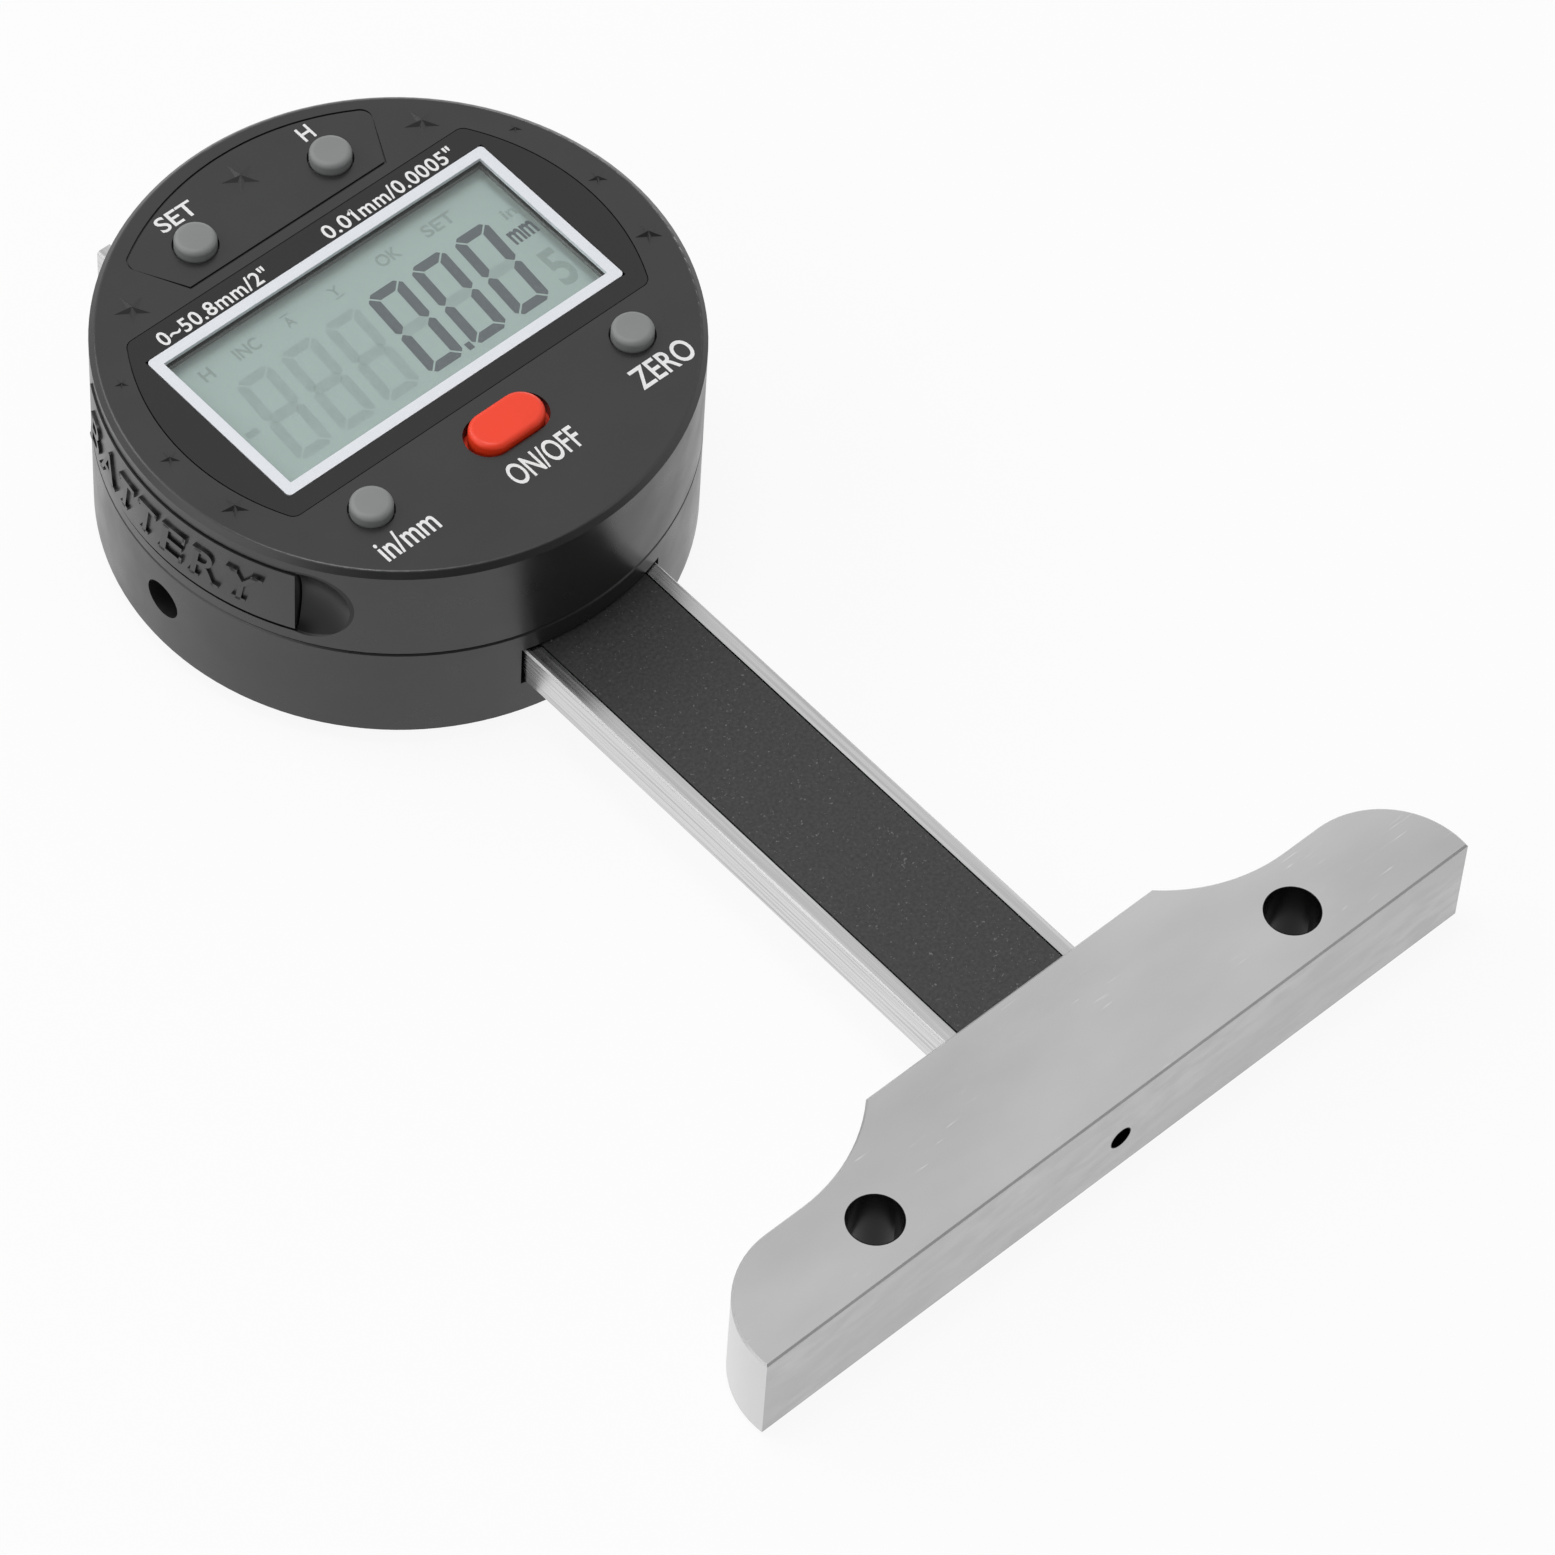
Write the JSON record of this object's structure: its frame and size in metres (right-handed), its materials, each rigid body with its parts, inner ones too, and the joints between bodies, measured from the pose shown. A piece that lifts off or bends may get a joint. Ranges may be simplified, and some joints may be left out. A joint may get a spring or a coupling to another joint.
{
  "type": "digital depth gauge",
  "caption": "Digital depth gauge: round display head that slides on a flat steel beam with a T base and drives a thin measuring rod out of the reference face.",
  "frame": {"origin": "middle of the reference face, in the plane on which the gauge lies on its back", "axes": "+X along the base to the right of the display, +Y from the reference face along the beam to the head, +Z out of the display"},
  "size_m": [0.0902, 0.1405, 0.0279],
  "materials": {
    "ground_steel": "fine ground stainless steel",
    "case_plastic": "satin black moulded ABS",
    "label_film": "grained black polycarbonate film",
    "circuit_board": "green glass-fibre board",
    "zinc_screw": "plated steel",
    "runner_metal": "machined aluminium",
    "gib_brass": "drawn brass",
    "rod_steel": "hardened ground steel",
    "inlay_black": "gloss black inlay",
    "frame_silver": "silver paint",
    "window_clear": "clear acrylic",
    "display_glass": "grey-green display cell",
    "contact_rubber": "conductive rubber strip",
    "holder_plastic": "moulded nylon",
    "chip_black": "moulded package",
    "link_plastic": "pin header",
    "key_grey": "satin grey plastic",
    "key_red": "satin red plastic",
    "spring_steel": "thin spring steel",
    "cell_steel": "nickel-plated can"
  },
  "bodies": {
    "base": {"base_block": "ground_steel", "scale_beam": "ground_steel", "scale_board": "circuit_board", "scale_label": "label_film", "base_screws": "zinc_screw", "base_dowels": "rod_steel", "end_stop": "ground_steel", "end_stop_screws": "zinc_screw"},
    "head": {"rear_housing": "case_plastic", "back_cover": "case_plastic", "back_cover_screws": "zinc_screw", "front_cover": "case_plastic", "case_screws": "zinc_screw", "slider_frame": "runner_metal", "slider_screws": "zinc_screw", "gib_strip": "gib_brass", "gib_screws": "zinc_screw", "depth_rod": "rod_steel", "rod_set_screw": "zinc_screw", "sensor_board": "circuit_board", "board_link": "link_plastic", "display_board": "circuit_board", "board_screws": "zinc_screw", "display_chip": "chip_black", "lcd_strips": "contact_rubber", "lcd_glass": "display_glass", "lcd_holder": "holder_plastic", "display_window": "window_clear", "display_panel": "inlay_black", "window_frame": "frame_silver", "battery_holder": "holder_plastic", "battery_cell": "cell_steel", "battery_contact_plus": "spring_steel", "battery_contact_minus": "spring_steel", "set_dome": "spring_steel", "hold_dome": "spring_steel", "zero_dome": "spring_steel", "unit_dome": "spring_steel", "power_dome": "spring_steel"},
    "battery_door": {"battery_door": "case_plastic"},
    "set_key": {"set_button": "key_grey"},
    "hold_key": {"hold_button": "key_grey"},
    "zero_key": {"zero_button": "key_grey"},
    "unit_key": {"unit_button": "key_grey"},
    "power_key": {"power_button": "key_red"}
  },
  "joints": [
    {"name": "head_slide", "type": "slide", "parent": "base", "child": "head", "axis": [0, -1, 0], "range_m": [0, 0.0518]},
    {"name": "battery_door_pull", "type": "slide", "parent": "head", "child": "battery_door", "axis": [-1, 0, 0], "range_m": [0, 0.012]},
    {"name": "set_press", "type": "slide", "parent": "head", "child": "set_key", "axis": [0, 0, -1], "range_m": [0, 0.0006], "stiffness_N_per_m": 800, "springref_m": -0.0003, "deforming": ["set_dome"]},
    {"name": "hold_press", "type": "slide", "parent": "head", "child": "hold_key", "axis": [0, 0, -1], "range_m": [0, 0.0006], "stiffness_N_per_m": 800, "springref_m": -0.0003, "deforming": ["hold_dome"]},
    {"name": "zero_press", "type": "slide", "parent": "head", "child": "zero_key", "axis": [0, 0, -1], "range_m": [0, 0.0006], "stiffness_N_per_m": 800, "springref_m": -0.0003, "deforming": ["zero_dome"]},
    {"name": "unit_press", "type": "slide", "parent": "head", "child": "unit_key", "axis": [0, 0, -1], "range_m": [0, 0.0006], "stiffness_N_per_m": 800, "springref_m": -0.0003, "deforming": ["unit_dome"]},
    {"name": "power_press", "type": "slide", "parent": "head", "child": "power_key", "axis": [0, 0, -1], "range_m": [0, 0.0006], "stiffness_N_per_m": 800, "springref_m": -0.0003, "deforming": ["power_dome"]}
  ]
}
